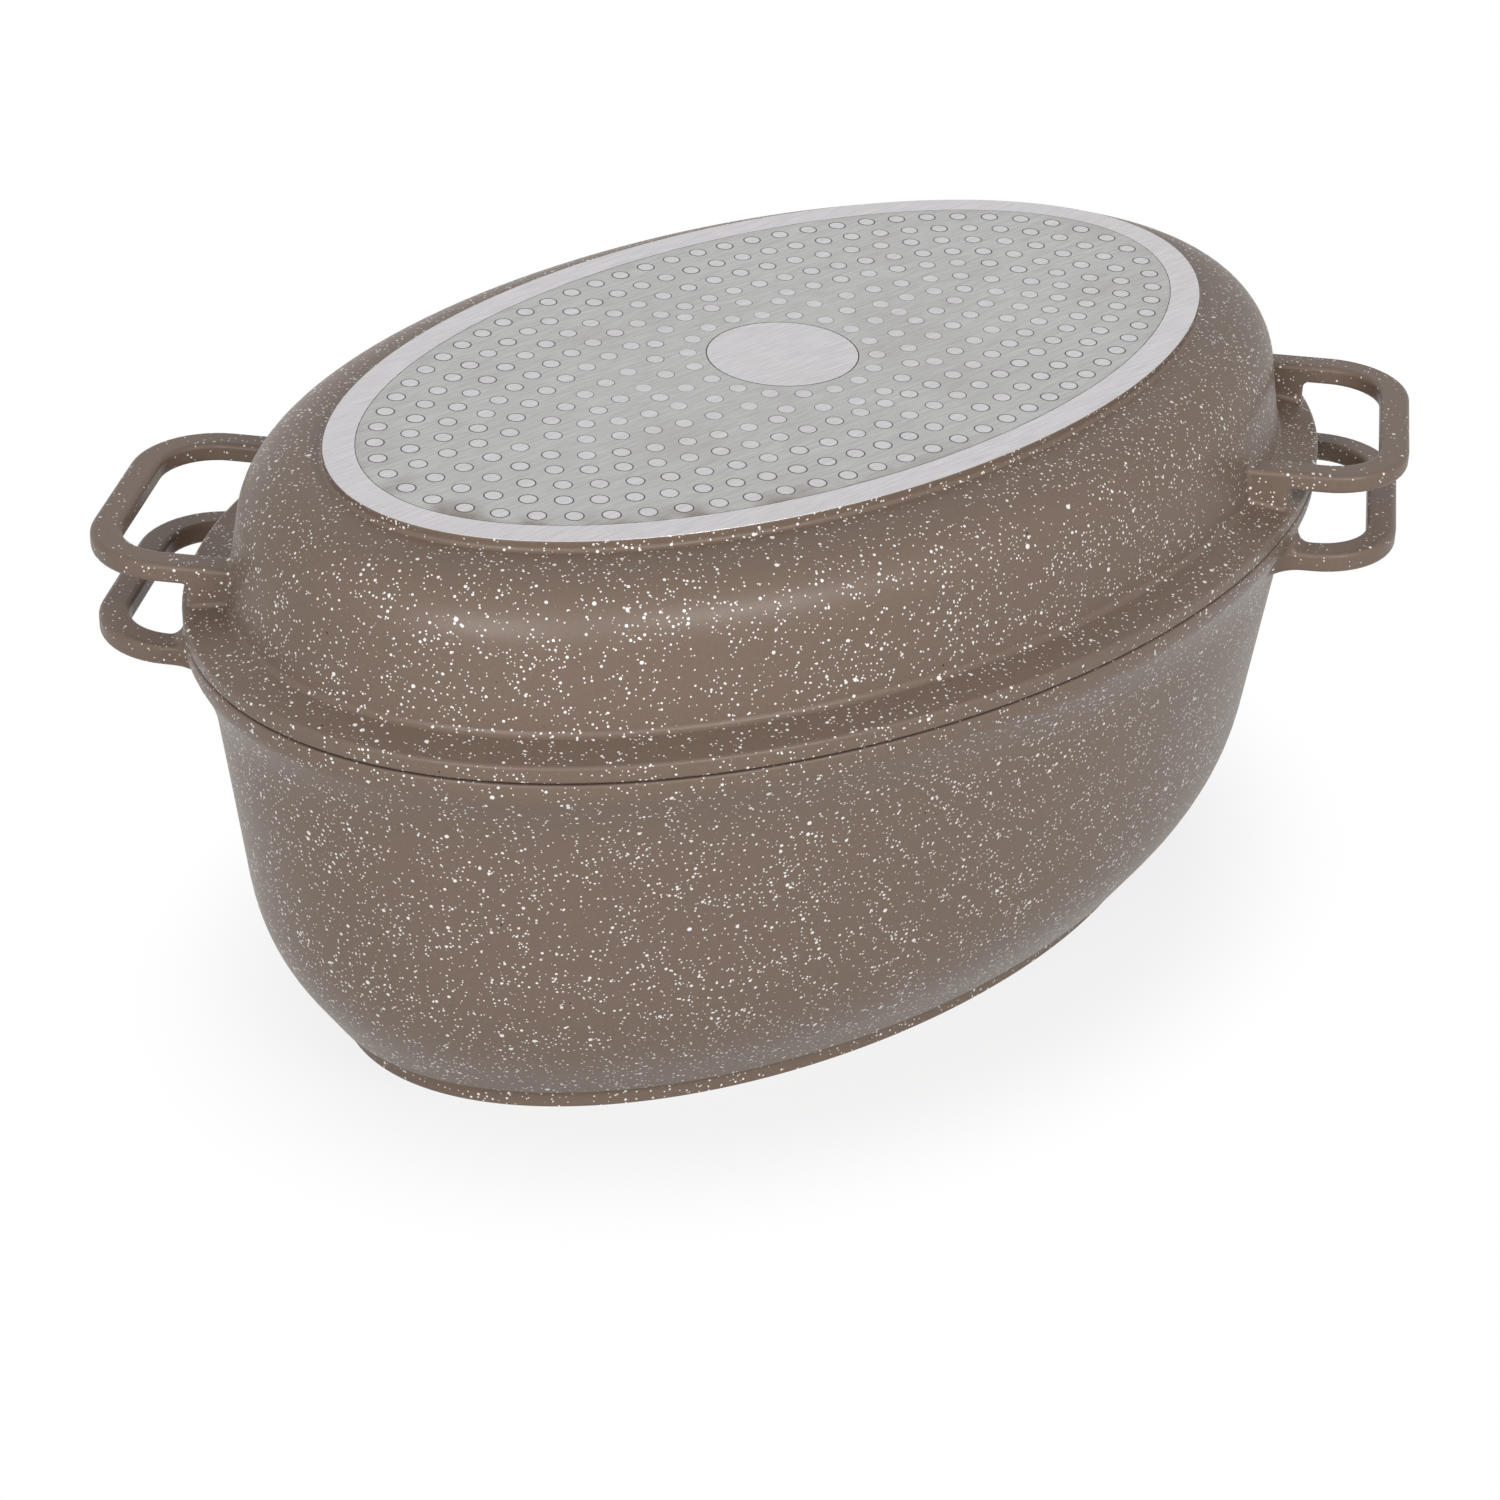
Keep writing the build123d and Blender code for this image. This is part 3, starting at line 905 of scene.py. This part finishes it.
@dataclass(frozen=True)
class Viewpoint:
    """The photograph's camera: where it aims, from how many metres, and at which angles in degrees."""

    azimuth: float = -43.06
    elevation: float = 30.67
    roll: float = 1.80
    distance: float = 1.10405
    aim: tuple[float, float, float] = (-0.04512, -0.03959, 0.08539)
    focal_pixels: float = 3734.4
    sensor: float = 36.0
    clip_start: float = 0.01

    def build(self) -> None:
        """Place the camera and make it the scene's own."""
        turn, tilt, roll = radians(self.azimuth), radians(self.elevation), radians(self.roll)
        back = Vector((sin(turn) * cos(tilt), -cos(turn) * cos(tilt), sin(tilt)))
        right = Vector((cos(turn), sin(turn), 0.0))
        up = back.cross(right)
        across = cos(roll) * right + sin(roll) * up
        above = cos(roll) * up - sin(roll) * right
        eye = Vector(self.aim) + back * self.distance
        camera = bpy.data.cameras.new("camera")
        camera.sensor_width = self.sensor
        camera.lens = self.focal_pixels / IMAGE_SIDE * self.sensor
        camera.clip_start = self.clip_start
        holder = bpy.data.objects.new("camera", camera)
        holder.matrix_world = Matrix((
            (across.x, above.x, back.x, eye.x),
            (across.y, above.y, back.y, eye.y),
            (across.z, above.z, back.z, eye.z),
            (0.0, 0.0, 0.0, 1.0),
        ))
        bpy.context.scene.collection.objects.link(holder)
        bpy.context.scene.camera = holder
        LOG.info("camera: %.1f mm lens, %.2f m from the pan", camera.lens, self.distance)


def main() -> None:
    """Build the scene in order and report each part of it."""
    logging.basicConfig(level=logging.INFO, format="%(name)s: %(message)s")
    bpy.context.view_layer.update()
    Viewpoint().build()
    aluminium = BrushedMetal(
        colour="D2D0D2",
        scratch_colour="C2C0C2",
        stain_colour="B5B0AC",
        stain=0.15,
        roughness=(0.28, 0.4),
    )
    steel = BrushedMetal(
        colour="BEBEBD",
        scratch_colour="ABABAA",
        stain_colour="A29D98",
        stain=0.4,
        roughness=(0.3, 0.42),
        smudge=Smudge(),
    )
    finish = PanFinish(SpeckledCoating(), aluminium, steel)
    RoastingPan(finish, StudCrowns(StudPattern())).build()
    Studio((
        SoftBox("left_softbox", place=(-1.4, -0.8, 0.9), aim=(0.0, 0.0, 0.1), size=(0.7, 0.6),
                power=13.0),
        SoftBox("front_softbox", place=(-0.15, -1.5, 1.1), aim=(0.0, 0.0, 0.1), size=(0.8, 0.4),
                power=14.0),
        SoftBox("back_fill", place=(0.8, 1.6, 0.3), aim=(0.0, 0.0, 0.08), size=(1.4, 0.3),
                power=22.0, mirrored=False),
    )).build()
    bpy.context.scene.view_settings.view_transform = "Standard"


if __name__ == "__main__":
    main()
